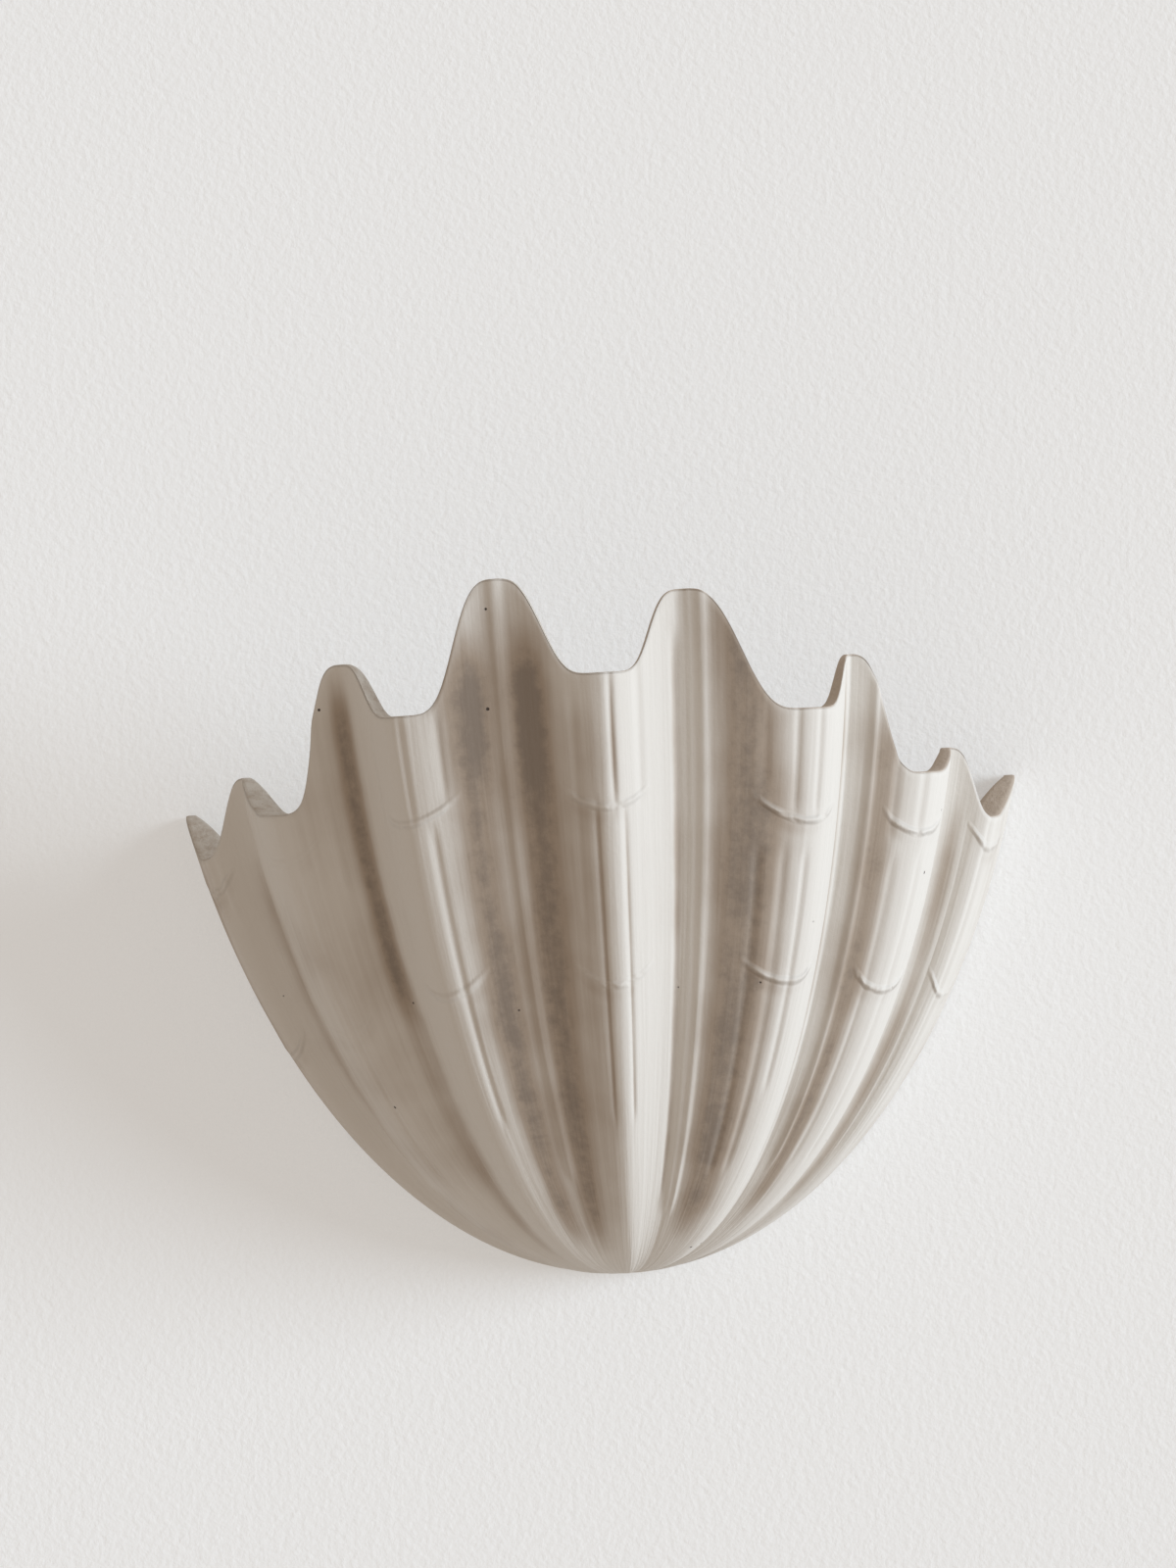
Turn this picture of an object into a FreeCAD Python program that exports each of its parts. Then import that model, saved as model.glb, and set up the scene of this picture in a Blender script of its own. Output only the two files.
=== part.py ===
"""Shell wall sconce: a fluted half-bowl shell hung on a steel wall plate, with an upright lamp inside.

Millimetres. The origin is on the wall plane, in the middle of the wall plate's four fixing holes.
+Z is up, the wall is the plane y = 0, and the light stands out from it towards -Y.
"""
import FreeCAD, Part
import math
import os

V = FreeCAD.Vector
UP = V(0, 0, 1)
OUT = V(0, -1, 0)

# ---------------------------------------------------------------- driving dimensions: the shell
shell_a = 228.0            # half-width of the bowl's oval at its widest, along the wall
shell_b = 205.0            # the same oval's depth out from the wall
shell_c = 390.0            # height at which the bowl would stand upright
apex_drop = 170.0          # the bowl's lowest point below the origin
lean_deg = 3.2             # the shell hangs with its right side this much up
pad_thick = 1.5            # felt pads that keep the shell off the wall
# Crests and grooves are listed from the left end to the right end, as turns from +X about the apex.
rib_turns = (167.5, 138.0, 115.0, 89.0, 62.5, 42.3, 19.5)
rib_heights = (222.5, 243.0, 285.5, 300.0, 279.0, 246.3, 222.5)
groove_turns = (180.0, 157.5, 125.5, 102.0, 78.0, 53.2, 26.0, 0.0)
tip_heights = (244.5, 261.7, 311.8, 346.0, 337.0, 303.5, 257.3, 242.0)
groove_depths = (0.0, 27.0, 16.5, 17.0, 17.0, 18.2, 24.5, 0.0)
rib_walls = (18.5, 17.5, 11.5, 8.5, 10.0, 9.0, 17.0)   # the shell's wall behind each crest
depth_height = 300.0       # height where a groove has its full depth
early_depth = 0.4          # share of the depth that grows evenly from the apex
valley_flat_front = 3.1    # how flat and wide the rim's valleys are, at the front
valley_flat_side = 0.8     # and at the two ends
tip_flat_front = 1.7       # how flat the rim is over a tip, at the front
tip_flat_side = 1.1        # and at the two ends
crest_keenness = 0.5       # 0 for a round crest, 1 for a ridge
wall_tip = 4.0             # shell wall at the top of a tip
wall_foot = 10.0           # shell wall at the apex
apex_angle = 0.02          # radians; the apex is a flat this small
steps_per_flute = 8
steps_up = 5

# ---------------------------------------------------------------- driving dimensions: the hanger
plate_width = 120.0
plate_height = 80.0
plate_thick = 2.0
plate_corner = 8.0
fixing_span_x = 100.0
fixing_span_z = 60.0
fixing_r = 2.5
hook_x = 40.0              # middle of each hook from the centre
hook_width = 16.0
hook_thick = 2.0
hook_floor_z = 12.0        # where the bar sits
hook_lip = 8.0
hook_bend = 1.6
bar_length = 316.0
bar_height = 21.0
bar_thick = 3.0
bar_wall_gap = 4.5         # wall plane to the back of the bar
bar_notch = 3.0            # depth of the notches that drop over the hooks
bar_corner = 6.3
lip_gap = 0.7
seat_gap = 0.2             # running gap under and beside the seated bar
lug_x = 148.0              # middle of each cast lug's screw
lug_depth = 20.0
lug_height = 26.0
lug_reach = 12.0           # from the screw to the lug's inner end
lug_chamfer = 5.0
insert_r = 4.5
insert_length = 14.0
bar_screw_r = 2.5
bar_screw_length = 16.0
bar_screw_head_r = 4.6
bar_screw_head = 2.0
head_rounding = 0.4        # edge radius of a round screw head, as a share of its height
bar_washer_r = 5.5
bar_washer_thick = 0.8
lug_bite = 4.5             # how far inside the shell's outer face a lug starts
pad_r = 4.0
pad_inset = 4.5            # middle of a pad from the shell's outer edge
pad_heights = (70.0, 140.0)   # above the apex, on each side

# ---------------------------------------------------------------- driving dimensions: the wiring
cable_hole_r = 5.5
cable_hole_z = 3.2
grommet_lip = 1.6
grommet_bore_r = 3.9
grommet_round = 1.0
block_x = 40.0             # middle way of the terminal block
block_pitch = 10.0
block_height = 14.0
block_depth = 9.0
block_z = -14.0
block_round = 1.0
slit_half = 0.5            # half-width of the slits between the ways
slit_web = 2.0             # block left between a slit's floor and the barrels' middle
barrel_r = 2.6
barrel_bore_r = 1.25
barrel_length = 16.0
well_r = 2.0                # screw wells in the block
clamp_screw_r = 1.5
clamp_sunk = 0.6           # how far the clamping screws lie under the block's face
slot_depth = 0.6
slot_half = 0.3
block_screw_r = 1.4
block_head_r = 2.1
block_head = 1.4
wire_r = 1.1
wire_inside = 2.0          # from the middle of a barrel down to the wire's end
earth_x = -38.0
earth_z = -14.0
stud_r = 2.0
stud_length = 12.0
tag_thick = 0.8
washer_thick = 0.8
washer_r = 4.6
nut_flats = 7.0
nut_height = 3.2
crimp_r = 1.7
crimp_length = 6.5
wire_bend_r = 5.0
wire_pair_x = 1.4          # the two lamp wires beside each other, each this far from the middle
wire_drop_z = -48.5        # level at which the lamp wires run forward
earth_drop_z = -53.0
live_turn_y = -28.0        # where each lamp wire turns straight forward
neutral_turn_y = -33.0
clip_length = 8.0
clip_wall = 1.3

# ---------------------------------------------------------------- driving dimensions: the lamp
lamp_y = -88.0             # lamp axis out from the wall
arm_width = 28.0
arm_thick = 2.5
arm_top_z = -6.0
arm_foot_z = -38.0
arm_bend_r = 4.0
arm_screw_r = 2.0
arm_screw_head_r = 4.0
arm_screw_head = 2.4
arm_screw_drops = (7.0, 19.0)
nipple_r = 5.0
nipple_bore_r = 3.6
nipple_below = 4.6
nipple_above = 7.0
fit_gap = 0.1
lamp_nut_flats = 14.0
lamp_nut_height = 3.0
lamp_washer_r = 8.0
lamp_washer_thick = 1.0
holder_r = 19.5
holder_height = 47.5
holder_neck_r = 12.0
holder_flare = 2.0         # the neck widens by this much
holder_flare_top = 3.0
holder_shoulder = 15.0     # height at which the holder has its full width
holder_edge_in = 1.0
holder_edge_down = 1.5
holder_floor = 19.5        # top of the holder's floor above the arm
holder_floor_thick = 4.0
chamber_r = 9.0
sleeve_r = 15.2
sleeve_wall = 1.5
sleeve_length = 25.0
sleeve_eye_r = 7.65        # opening in the sleeve's turned-in foot
sleeve_floor = 1.0
ring_wall = 3.2
ring_height = 8.0
ring_drop = 2.0
ring_grips = 24
grip_r = 1.1
grip_outward = 0.4         # middle of each grip's hollow outside the ring
cap_r = 13.2
cap_length = 24.0
cap_wall = 0.8
cap_foot_in = 1.2
cap_foot_up = 1.5
cap_floor_edge = 2.0
cap_floor_middle = 1.2
contact_r = 4.5
contact_thick = 0.5
contact_gap = 0.3
spring_thick = 1.2
spring_crown_r = 2.7
spring_edge = 0.6
tag_gap = 0.8              # between the two brass tags under the floor
tag_width = 4.0
tag_height = 3.0
insulator_height = 2.0
insulator_foot_r = 5.0
bulb_r = 30.0
collar_plug = 6.0          # how far the collar reaches down into the cap
collar_plug_gap = 0.1
collar_profile = ((13.6, 0.0), (14.6, 3.0), (19.0, 15.0), (25.5, 25.0), (28.8, 33.0), (29.6, 36.0))
globe_height = 44.0
globe_wall = 1.5

snap = 0.01                # how near an edge must lie to be the one meant
along = 0.9                # how far a unit direction must point along an axis to count as on it


# ---------------------------------------------------------------- shared helpers
def box(x0, x1, y0, y1, z0, z1):
    return Part.makeBox(x1 - x0, y1 - y0, z1 - z0, V(x0, y0, z0))


def rod(radius, length, foot, direction):
    return Part.makeCylinder(radius, length, foot, direction)


def tube(radius, bore, length, foot, direction):
    return rod(radius, length, foot, direction).cut(rod(bore, length, foot, direction))


def hexagon(flats, height, foot, direction):
    """A nut blank standing on foot, its flats at the given distance."""
    corner_r = flats / math.sqrt(3.0)
    points = []
    for corner in range(7):
        turn = math.radians(60.0 * corner)
        points.append(V(corner_r * math.cos(turn), corner_r * math.sin(turn), 0))
    blank = Part.Face(Part.makePolygon(points)).extrude(V(0, 0, height))
    blank.Placement = FreeCAD.Placement(foot, FreeCAD.Rotation(UP, direction))
    return blank


def revolved(profile, axis_point):
    """A solid turned about the upright axis through axis_point, from (radius, height) corners."""
    points = [V(r, 0, z) for r, z in profile]
    points.append(points[0])
    solid = Part.Face(Part.makePolygon(points)).revolve(V(0, 0, 0), UP, 360)
    solid.translate(axis_point)
    return solid


def wire_path(points, bend_r):
    """Straight runs joined by tangent arcs of radius bend_r at each middle point."""
    edges = []
    start = points[0]
    for before, corner, after in zip(points, points[1:], points[2:]):
        back = (before - corner).normalize()
        ahead = (after - corner).normalize()
        half_turn = (math.pi - back.getAngle(ahead)) / 2.0
        setback = bend_r * math.tan(half_turn)
        first = corner + back * setback
        last = corner + ahead * setback
        inward = (back + ahead).normalize()
        centre = corner + inward * (bend_r / math.cos(half_turn))
        edges.append(Part.LineSegment(start, first).toShape())
        edges.append(Part.Arc(first, centre - inward * bend_r, last).toShape())
        start = last
    edges.append(Part.LineSegment(start, points[-1]).toShape())
    return Part.Wire(edges)


def swept_wire(points, bend_r):
    path = wire_path(points, bend_r)
    ring = Part.Wire(Part.makeCircle(wire_r, points[0], points[1] - points[0]))
    return path.makePipeShell([ring], True, False)


def save(shape, node):
    shape.exportStep(os.path.join("parts", node + ".step"))


# ---------------------------------------------------------------- the fluted shell
def flute_marks(on_ribs, on_grooves):
    """Values at the grooves and ribs in turn, from the left end to the right end."""
    marks = [on_grooves[0]]
    for rib, groove in zip(on_ribs, on_grooves[1:]):
        marks += [rib, groove]
    return marks


turn_marks = flute_marks(rib_turns, groove_turns)
height_marks = flute_marks(rib_heights, tip_heights)
half_flutes = len(turn_marks) - 1


def smooth_at(marks, place):
    """Cubic through equally spaced marks; place counts them from 0."""
    i = min(int(place), len(marks) - 2)
    f = place - i
    before = marks[i - 1] if i > 0 else 2 * marks[0] - marks[1]
    after = marks[i + 2] if i + 2 < len(marks) else 2 * marks[-1] - marks[-2]
    rise0 = (marks[i + 1] - before) / 2.0
    rise1 = (after - marks[i]) / 2.0
    run = marks[i + 1] - marks[i]
    return marks[i] + f * (rise0 + f * (3 * run - 2 * rise0 - rise1 + f * (rise0 + rise1 - 2 * run)))


def groove_share(place):
    """1 on a groove's bottom line and 0 on a rib's crest."""
    return (1.0 + math.cos(math.pi * place)) / 2.0


def side_share(place):
    """0 at the front and 1 at both ends."""
    return (place / half_flutes * 2.0 - 1.0) ** 2


def rim_height(place):
    """The rim lies low over the ribs and climbs to a rounded tip over each groove."""
    i = min(int(place), half_flutes - 1)
    tip, low = height_marks[i], height_marks[i + 1]
    if i % 2:
        tip, low = low, tip
    valley_flat = valley_flat_front + (valley_flat_side - valley_flat_front) * side_share(place)
    tip_flat = tip_flat_front + (tip_flat_side - tip_flat_front) * side_share(place)
    climb = (1.0 - (1.0 - groove_share(place)) ** tip_flat) ** valley_flat
    return low + (tip - low) * climb


def groove_depth(place):
    """Depth at the depth height: the nearest groove's own, less towards its crests, which are keen."""
    nearest = min(int(place / 2.0 + 0.5), len(groove_depths) - 1)
    wave = groove_share(place)
    return groove_depths[nearest] * (crest_keenness * math.sqrt(wave) + (1.0 - crest_keenness) * wave)


def shell_wall(place, growth):
    """Thick behind the crests; along a groove the wall thins as the groove deepens, up to its tip."""
    rib_place = min(max((place - 1.0) / 2.0, 0.0), len(rib_walls) - 1.0)
    thick = smooth_at(rib_walls, rib_place)
    return thick + (wall_tip - thick) * groove_share(place) ** 2 * growth


def oval_radius(height, full_height):
    """Radius of the bowl's oval at a height, as a share of its full one."""
    return math.sqrt(1.0 - (1.0 - height / full_height) ** 2)


def shell_point(place, share, inside):
    """A point of the outer or inner face: place runs left to right, share from apex to rim."""
    foot = wall_foot if inside else 0.0
    full = shell_c - foot
    rim_angle = math.acos(1.0 - (rim_height(place) - foot) / full)
    angle = apex_angle + (rim_angle - apex_angle) * share
    across = math.sin(angle)
    height = foot + full * (1.0 - math.cos(angle))
    turn = math.radians(smooth_at(turn_marks, place))
    grown = across / oval_radius(depth_height, shell_c)
    growth = early_depth * grown + (1.0 - early_depth) * grown * grown
    depth = groove_depth(place) * growth
    thick = shell_wall(place, growth) if inside else 0.0
    out_x = math.cos(turn) / shell_a
    out_y = math.sin(turn) / shell_b
    out = math.hypot(out_x, out_y)
    x = (shell_a - thick) * across * math.cos(turn) - depth * out_x / out
    y = (shell_b - thick) * across * math.sin(turn) - depth * out_y / out
    return V(x, -y if 0 < place < half_flutes else 0.0, height)


def shell_face(inside):
    """One smooth face, its poles set on the formula and pushed out where the spline would cut in."""
    columns = half_flutes // 2 * steps_per_flute
    poles = []
    for place in spline_stations(columns, half_flutes):
        near = half_flutes / columns
        inner_column = near <= place <= half_flutes - near
        column = []
        for share in spline_stations(steps_up, 1.0):
            pole = shell_point(place, share, inside)
            if inner_column:
                beside = shell_point(place - near, share, inside) + shell_point(place + near, share, inside)
                pole = pole * (4.0 / 3.0) - beside / 6.0
            column.append(pole)
        poles.append(column)
    face = Part.BSplineSurface()
    face.buildFromPolesMultsKnots(poles, spline_mults(columns), spline_mults(steps_up),
                                  list(range(columns + 1)), list(range(steps_up + 1)),
                                  False, False, 3, 3)
    return face


def spline_stations(steps, length):
    """Where the poles of a clamped cubic with even knots belong."""
    even = [0.0, 1.0 / 3.0] + list(range(1, steps)) + [steps - 1.0 / 3.0, steps]
    return [station * length / steps for station in even]


def spline_mults(steps):
    return [4] + [1] * (steps - 1) + [4]


def edges_of(face):
    """Left end, right end, foot and rim edges of a shell face."""
    u0, u1, v0, v1 = face.bounds()
    return [curve.toShape() for curve in (face.uIso(u0), face.uIso(u1), face.vIso(v0), face.vIso(v1))]


def start_point(edge):
    return edge.Vertexes[0].Point


def end_point(edge):
    return edge.Vertexes[-1].Point


def leaning(shape):
    """From the shell's own place, apex at the origin, to its hung place."""
    shape.rotate(V(0, 0, 0), V(0, 1, 0), -lean_deg)
    shape.translate(V(0, -pad_thick, -apex_drop))
    return shape


def shell_bowl():
    """Outer and inner faces, joined by a rim, a back land on the wall side and two small feet."""
    outer, inner = shell_face(False), shell_face(True)
    outer_left, outer_right, outer_foot, outer_rim = edges_of(outer)
    inner_left, inner_right, inner_foot, inner_rim = edges_of(inner)
    rim_left = Part.makeLine(end_point(outer_left), end_point(inner_left))
    rim_right = Part.makeLine(end_point(outer_right), end_point(inner_right))
    outer_chord = Part.makeLine(start_point(outer_foot), end_point(outer_foot))
    inner_chord = Part.makeLine(start_point(inner_foot), end_point(inner_foot))
    land = Part.Wire(Part.__sortEdges__([outer_left, rim_left, inner_left, inner_chord,
                                         inner_right, rim_right, outer_right, outer_chord]))
    faces = [outer.toShape(), inner.toShape(), Part.makeRuledSurface(outer_rim, inner_rim),
             Part.Face(land), Part.Face(Part.Wire([outer_foot, outer_chord])),
             Part.Face(Part.Wire([inner_foot, inner_chord]))]
    skin = Part.makeShell(faces)
    skin.sewShape()
    bowl = Part.Solid(Part.Shell(skin.Faces))
    if bowl.Volume < 0:
        bowl.reverse()
    return leaning(bowl)


def wall_x(side, height_z):
    """Where the leaning shell's outer face meets its back plane, on one side, at a height."""
    lean = math.radians(lean_deg)
    x = side * shell_a
    for _ in range(20):
        upright = (height_z + apex_drop) * math.cos(lean) - x * math.sin(lean)
        own = side * shell_a * oval_radius(upright, shell_c)
        x = own * math.cos(lean) - upright * math.sin(lean)
    return x


bar_back_y = -bar_wall_gap
bar_front_y = bar_back_y - bar_thick
bar_seat_z = hook_floor_z + seat_gap
bar_low_z = bar_seat_z - bar_notch
bar_mid_z = bar_low_z + bar_height / 2.0


def front_edges(block):
    """The two level edges of a lug that face the room."""
    face_y = block.BoundBox.YMin
    return [e for e in block.Edges if abs(e.tangentAt(e.FirstParameter).x) > along
            and e.CenterOfMass.y < face_y + snap]


def lug(side):
    """Cast block inside one side of the bowl, its root slanted to run inside the wall."""
    low_z = bar_mid_z - lug_height / 2.0
    high_z = low_z + lug_height
    inner_end = side * (lug_x - lug_reach)
    corners = [(wall_x(side, low_z) - side * lug_bite, low_z), (inner_end, low_z),
               (inner_end, high_z), (wall_x(side, high_z) - side * lug_bite, high_z)]
    points = [V(x, bar_front_y, z) for x, z in corners]
    block = Part.Face(Part.makePolygon(points + points[:1])).extrude(OUT * lug_depth)
    return block.makeChamfer(lug_chamfer, front_edges(block))


def shell():
    """Bowl with two cast lugs at its inner sides, bored for the screw inserts."""
    bowl = shell_bowl()
    for side in (-1, 1):
        bowl = bowl.fuse(lug(side))
    for side in (-1, 1):
        mouth = V(side * lug_x, bar_front_y, bar_mid_z)
        bowl = bowl.cut(rod(insert_r, insert_length, mouth, OUT))
    return bowl.Solids[0]


def at_lugs(make):
    """One solid at each lug's screw axis, starting on the bar's front face."""
    return Part.makeCompound([make(V(side * lug_x, bar_front_y, bar_mid_z)) for side in (-1, 1)])


def lug_inserts():
    return at_lugs(lambda mouth: tube(insert_r, bar_screw_r, insert_length, mouth, OUT))


def hanging_bar():
    """Flat steel bar with round ends, notched over the hooks and drilled for the lug screws."""
    half = bar_length / 2.0
    top_z = bar_low_z + bar_height
    bar = box(-half, half, bar_front_y, bar_back_y, bar_low_z, top_z)
    corners = [e for e in bar.Edges if abs(e.tangentAt(e.FirstParameter).y) > along]
    bar = bar.makeFillet(bar_corner, corners)
    for side in (-1, 1):
        centre = side * hook_x
        half_notch = hook_width / 2.0 + seat_gap + fit_gap
        bar = bar.cut(box(centre - half_notch, centre + half_notch, bar_front_y, bar_back_y,
                          bar_low_z, bar_seat_z))
        bar = bar.cut(rod(bar_screw_r + fit_gap, bar_thick, V(side * lug_x, bar_back_y, bar_mid_z), OUT))
    return bar


def bar_washers():
    lift = V(0, bar_thick + bar_washer_thick, 0)
    return at_lugs(lambda mouth: tube(bar_washer_r, bar_screw_r + fit_gap, bar_washer_thick, mouth + lift, OUT))


def bar_screws():
    under_head = V(0, bar_thick + bar_washer_thick, 0)

    def screw(mouth):
        foot = mouth + under_head
        shank = rod(bar_screw_r, bar_screw_length, foot, OUT)
        head = rod(bar_screw_head_r, bar_screw_head, foot, OUT * -1)
        rim = [e for e in head.Edges if e.Vertexes[0].Point.y > foot.y + bar_screw_head / 2.0]
        return shank.fuse(head.makeFillet(bar_screw_head * head_rounding, rim))

    return at_lugs(screw)


def wall_pads():
    """Felt discs on the back land of the shell, two a side."""
    pads = []
    for side in (-1, 1):
        for height in pad_heights:
            z = height - apex_drop
            x = wall_x(side, z) - side * pad_inset
            pads.append(rod(pad_r, pad_thick, V(x, 0, z), OUT))
    return Part.makeCompound(pads)


# ---------------------------------------------------------------- the wall plate
def wall_plate():
    """Pressed steel plate with two hooks, four fixing holes and a cable hole."""
    half_w, half_h = plate_width / 2.0, plate_height / 2.0
    plate = box(-half_w, half_w, -plate_thick, 0, -half_h, half_h)
    corners = [e for e in plate.Edges if abs(e.tangentAt(e.FirstParameter).y) > along]
    plate = plate.makeFillet(plate_corner, corners)
    lip_y = bar_front_y - lip_gap
    for side in (-1, 1):
        x0, x1 = side * hook_x - hook_width / 2.0, side * hook_x + hook_width / 2.0
        floor = box(x0, x1, lip_y - hook_thick, -plate_thick, hook_floor_z - hook_thick, hook_floor_z)
        lip = box(x0, x1, lip_y - hook_thick, lip_y, hook_floor_z - hook_thick, hook_floor_z + hook_lip)
        hook = floor.fuse(lip).removeSplitter()
        bend = [e for e in hook.Edges if abs(e.CenterOfMass.y - lip_y + hook_thick) < snap
                and abs(e.CenterOfMass.z - hook_floor_z + hook_thick) < snap]
        plate = plate.fuse(hook.makeFillet(hook_bend, bend))
        for updown in (-1, 1):
            centre = V(side * fixing_span_x / 2.0, 0, updown * fixing_span_z / 2.0)
            plate = plate.cut(rod(fixing_r, plate_thick, centre, OUT))
    plate = plate.cut(rod(cable_hole_r, plate_thick, V(0, 0, cable_hole_z), OUT))
    for hole in arm_screw_places():
        plate = plate.cut(rod(arm_screw_r, plate_thick, V(hole.x, 0, hole.z), OUT))
    plate = plate.cut(rod(block_screw_r, plate_thick, V(block_screw_x, 0, block_z), OUT))
    return plate.removeSplitter()


def cable_grommet():
    """Rubber ring with a groove that holds the plate's edge."""
    lip_r = cable_hole_r + grommet_lip
    front = rod(lip_r, grommet_lip, V(0, -plate_thick, cable_hole_z), OUT)
    rim = [e for e in front.Edges if e.Vertexes[0].Point.y < -plate_thick - grommet_lip / 2.0]
    front = front.makeFillet(grommet_round, rim)
    neck = rod(cable_hole_r, plate_thick, V(0, 0, cable_hole_z), OUT)
    through = rod(grommet_bore_r, plate_thick + grommet_lip, V(0, 0, cable_hole_z), OUT)
    return front.fuse(neck).cut(through)


# ---------------------------------------------------------------- terminals and earth
block_screw_x = block_x - block_pitch / 2.0
block_low_z = block_z - block_height / 2.0
barrel_y = -plate_thick - block_depth / 2.0
way_xs = [block_x + way * block_pitch for way in (-1, 0, 1)]


def terminal_block():
    """Moulded three-way block with a barrel bore and a screw well for each way."""
    half = 1.5 * block_pitch
    block = box(block_x - half, block_x + half, -plate_thick - block_depth, -plate_thick,
                block_low_z, block_low_z + block_height)
    upright = [e for e in block.Edges if abs(e.tangentAt(e.FirstParameter).z) > along
               and e.Vertexes[0].Point.y < barrel_y]
    block = block.makeFillet(block_round, upright)
    for x in way_xs:
        block = block.cut(rod(barrel_r, block_height, V(x, barrel_y, block_low_z), UP))
        block = block.cut(rod(well_r, block_depth / 2.0, V(x, barrel_y, block_z), OUT))
    for edge in (way_xs[0] + way_xs[1], way_xs[1] + way_xs[2]):
        slit = box(edge / 2.0 - slit_half, edge / 2.0 + slit_half, -plate_thick - block_depth,
                   barrel_y - slit_web, block_low_z, block_low_z + block_height)
        block = block.cut(slit)
    return block.cut(rod(block_screw_r, block_depth, V(block_screw_x, -plate_thick, block_z), OUT))


def terminal_barrels():
    """Brass tubes that the wires end in, each tapped for its screw."""
    barrels = []
    for x in way_xs:
        foot = V(x, barrel_y, block_z - barrel_length / 2.0)
        barrel = tube(barrel_r, barrel_bore_r, barrel_length, foot, UP)
        barrels.append(barrel.cut(rod(clamp_screw_r, barrel_r, V(x, barrel_y, block_z), OUT)))
    return Part.makeCompound(barrels)


def terminal_screws():
    """Slotted clamping screws, one a way, standing on their wires."""
    screws = []
    for x in way_xs:
        foot = V(x, barrel_y - barrel_bore_r, block_z)
        length = block_depth / 2.0 - barrel_bore_r - clamp_sunk
        screw = rod(clamp_screw_r, length, foot, OUT)
        tip_y = foot.y - length
        slot = box(x - clamp_screw_r, x + clamp_screw_r, tip_y, tip_y + slot_depth,
                   block_z - slot_half, block_z + slot_half)
        screws.append(screw.cut(slot))
    return Part.makeCompound(screws)


def block_screw():
    """Screw through the block into the plate."""
    face_y = -plate_thick - block_depth
    shank = rod(block_screw_r, block_depth + plate_thick, V(block_screw_x, face_y, block_z), OUT * -1)
    head = rod(block_head_r, block_head, V(block_screw_x, face_y, block_z), OUT)
    return shank.fuse(head)


def earth_stud():
    return rod(stud_r, stud_length, V(earth_x, -plate_thick, earth_z), OUT)


def earth_washer():
    return tube(washer_r, stud_r + fit_gap, washer_thick, V(earth_x, -plate_thick, earth_z), OUT)


tag_y = -plate_thick - washer_thick
crimp_y = tag_y - tag_thick - crimp_r * 0.5
crimp_low_z = earth_z - washer_r - crimp_length


def earth_tag():
    """Ring tag on the stud with a crimped barrel that points down."""
    ring = rod(washer_r, tag_thick, V(earth_x, tag_y, earth_z), OUT)
    neck = box(earth_x - crimp_r, earth_x + crimp_r, tag_y - tag_thick, tag_y,
               crimp_low_z + crimp_length / 2.0, earth_z)
    crimp = rod(crimp_r, crimp_length, V(earth_x, crimp_y, crimp_low_z), UP)
    tag = ring.fuse([neck, crimp]).removeSplitter()
    return tag.cut(rod(stud_r + fit_gap, tag_thick, V(earth_x, tag_y, earth_z), OUT))


def earth_nut():
    foot = V(earth_x, tag_y - tag_thick, earth_z)
    nut = hexagon(nut_flats, nut_height, foot, OUT)
    return nut.cut(rod(stud_r, nut_height, foot, OUT))


# ---------------------------------------------------------------- the lamp arm
def arm_screw_places():
    face_y = -plate_thick - arm_thick
    return [V(0, face_y, arm_top_z - drop) for drop in arm_screw_drops]


def lamp_arm():
    """Steel strip bent into an L, screwed to the plate, with a round end under the lampholder."""
    half = arm_width / 2.0
    back_y = -plate_thick
    leg = box(-half, half, back_y - arm_thick, back_y, arm_foot_z, arm_top_z)
    foot = box(-half, half, lamp_y, back_y, arm_foot_z, arm_foot_z + arm_thick)
    bent = leg.fuse(foot).removeSplitter()
    inner = [e for e in bent.Edges if abs(e.CenterOfMass.y - back_y + arm_thick) < snap
             and abs(e.CenterOfMass.z - arm_foot_z - arm_thick) < snap]
    outer = [e for e in bent.Edges if abs(e.CenterOfMass.y - back_y) < snap
             and abs(e.CenterOfMass.z - arm_foot_z) < snap]
    bent = bent.makeFillet(arm_bend_r, inner).makeFillet(arm_thick, outer)
    eye = rod(half, arm_thick, V(0, lamp_y, arm_foot_z), UP)
    bent = bent.fuse(eye).removeSplitter()
    bent = bent.cut(rod(nipple_r + fit_gap, arm_thick, V(0, lamp_y, arm_foot_z), UP))
    for place in arm_screw_places():
        bent = bent.cut(rod(arm_screw_r, arm_thick, V(place.x, back_y, place.z), OUT))
    return bent


def arm_screws():
    screws = []
    for place in arm_screw_places():
        shank = rod(arm_screw_r, arm_thick + plate_thick, place, OUT * -1)
        head = rod(arm_screw_head_r, arm_screw_head, place, OUT)
        rim = [e for e in head.Edges if e.Vertexes[0].Point.y < place.y - arm_screw_head / 2.0]
        screws.append(shank.fuse(head.makeFillet(arm_screw_head * head_rounding, rim)))
    return Part.makeCompound(screws)


arm_low = V(0, lamp_y, arm_foot_z)
arm_high = V(0, lamp_y, arm_foot_z + arm_thick)


def nipple():
    """Threaded tube that clamps the lampholder to the arm and lets the wires through."""
    foot = arm_low - UP * nipple_below
    return tube(nipple_r, nipple_bore_r, nipple_below + arm_thick + nipple_above, foot, UP)


def nipple_washer():
    foot = arm_low - UP * lamp_washer_thick
    return tube(lamp_washer_r, nipple_r + fit_gap, lamp_washer_thick, foot, UP)


def nipple_nut():
    foot = arm_low - UP * (lamp_washer_thick + lamp_nut_height)
    return hexagon(lamp_nut_flats, lamp_nut_height, foot, UP).cut(rod(nipple_r, lamp_nut_height, foot, UP))


# ---------------------------------------------------------------- the lampholder
floor_low = holder_floor - holder_floor_thick


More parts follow.
